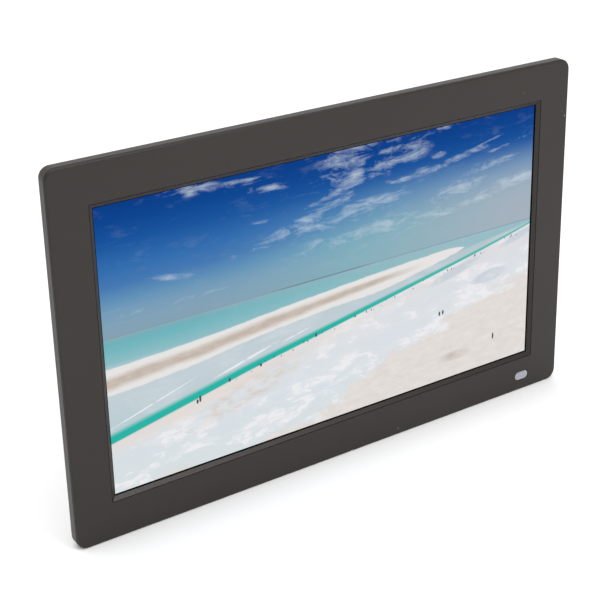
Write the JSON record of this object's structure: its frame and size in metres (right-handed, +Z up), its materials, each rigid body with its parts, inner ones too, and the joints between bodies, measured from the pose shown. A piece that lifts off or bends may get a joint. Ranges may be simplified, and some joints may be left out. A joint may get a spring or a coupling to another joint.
{
  "type": "digital photo frame",
  "caption": "Widescreen digital photo frame with a charcoal bezel, remote-control window, rear keys, sockets and speakers, wall keyholes and a swing-out foot.",
  "frame": {"origin": "middle of the front shell's flat underside, at table height, half way through the depth of its side wall", "axes": "+X to the viewer's right along the width, +Y from the screen towards the back, +Z up; the screen faces -Y"},
  "size_m": [0.405, 0.115, 0.256],
  "materials": {
    "shell_abs": "fine spark-eroded texture, satin, warm charcoal",
    "cover_abs": "matt textured, near black",
    "window_plastic": "milky translucent, smooth",
    "display_glass": "smooth, lit from behind",
    "optical_film": "white film, matt",
    "light_guide_acrylic": "clear polished acrylic",
    "foam": "black closed-cell foam",
    "aluminium_sheet": "bare, satin",
    "steel_sheet": "zinc plated, satin",
    "screw_steel": "black zinc plated",
    "circuit_board": "green solder mask on glass fibre",
    "chip_epoxy": "black moulded epoxy",
    "socket_plastic": "black moulded",
    "ribbon_film": "pale polyimide ribbon",
    "key_abs": "satin, slightly glossier than the cover",
    "speaker_paper": "black paper cone and basket",
    "rubber": "matt black"
  },
  "bodies": {
    "frame": {"front_bezel": "shell_abs", "rear_cover": "cover_abs", "stand_bracket": "cover_abs", "sensor_window": "window_plastic", "lcd_glass": "display_glass", "diffuser_sheet": "optical_film", "reflector_sheet": "optical_film", "led_strip": "optical_film", "light_guide": "light_guide_acrylic", "foam_gasket": "foam", "panel_tray": "aluminium_sheet", "heat_sink": "aluminium_sheet", "panel_bracket_left": "steel_sheet", "panel_bracket_right": "steel_sheet", "usb_port": "steel_sheet", "hdmi_port": "steel_sheet", "card_slot": "steel_sheet", "hinge_pin": "steel_sheet", "bracket_screw_left_upper": "screw_steel", "bracket_screw_left_lower": "screw_steel", "bracket_screw_right_upper": "screw_steel", "bracket_screw_right_lower": "screw_steel", "cover_screw_top_left": "screw_steel", "cover_screw_top_middle": "screw_steel", "cover_screw_top_right": "screw_steel", "cover_screw_bottom_left": "screw_steel", "cover_screw_bottom_middle": "screw_steel", "cover_screw_bottom_right": "screw_steel", "stand_screw_upper": "screw_steel", "stand_screw_lower": "screw_steel", "panel_driver_board": "circuit_board", "main_board": "circuit_board", "key_board": "circuit_board", "sensor_board": "circuit_board", "main_processor": "chip_epoxy", "ir_receiver": "chip_epoxy", "switch_power": "chip_epoxy", "switch_menu": "chip_epoxy", "switch_left": "chip_epoxy", "switch_up": "chip_epoxy", "switch_down": "chip_epoxy", "switch_right": "chip_epoxy", "switch_ok": "chip_epoxy", "dc_jack": "socket_plastic", "headphone_jack": "socket_plastic", "display_cable": "ribbon_film", "speaker_left": "speaker_paper", "speaker_right": "speaker_paper"},
    "leg": {"stand_leg": "cover_abs", "stand_pad": "rubber"},
    "power_key": {"key_power": "key_abs"},
    "menu_key": {"key_menu": "key_abs"},
    "left_key": {"key_left": "key_abs"},
    "up_key": {"key_up": "key_abs"},
    "down_key": {"key_down": "key_abs"},
    "right_key": {"key_right": "key_abs"},
    "ok_key": {"key_ok": "key_abs"}
  },
  "joints": [
    {"name": "leg_swing", "type": "hinge", "parent": "frame", "child": "leg", "pos_m": [0, 0.0188, 0.0573], "axis": [0, 0, -1], "range_deg": [0, 90]},
    {"name": "power_press", "type": "slide", "parent": "frame", "child": "power_key", "axis": [0, -1, 0], "range_m": [0, 0.0005], "stiffness_N_per_m": 1000, "springref_m": -0.001},
    {"name": "menu_press", "type": "slide", "parent": "frame", "child": "menu_key", "axis": [0, -1, 0], "range_m": [0, 0.0005], "stiffness_N_per_m": 1000, "springref_m": -0.001},
    {"name": "left_press", "type": "slide", "parent": "frame", "child": "left_key", "axis": [0, -1, 0], "range_m": [0, 0.0005], "stiffness_N_per_m": 1000, "springref_m": -0.001},
    {"name": "up_press", "type": "slide", "parent": "frame", "child": "up_key", "axis": [0, -1, 0], "range_m": [0, 0.0005], "stiffness_N_per_m": 1000, "springref_m": -0.001},
    {"name": "down_press", "type": "slide", "parent": "frame", "child": "down_key", "axis": [0, -1, 0], "range_m": [0, 0.0005], "stiffness_N_per_m": 1000, "springref_m": -0.001},
    {"name": "right_press", "type": "slide", "parent": "frame", "child": "right_key", "axis": [0, -1, 0], "range_m": [0, 0.0005], "stiffness_N_per_m": 1000, "springref_m": -0.001},
    {"name": "ok_press", "type": "slide", "parent": "frame", "child": "ok_key", "axis": [0, -1, 0], "range_m": [0, 0.0005], "stiffness_N_per_m": 1000, "springref_m": -0.001}
  ]
}
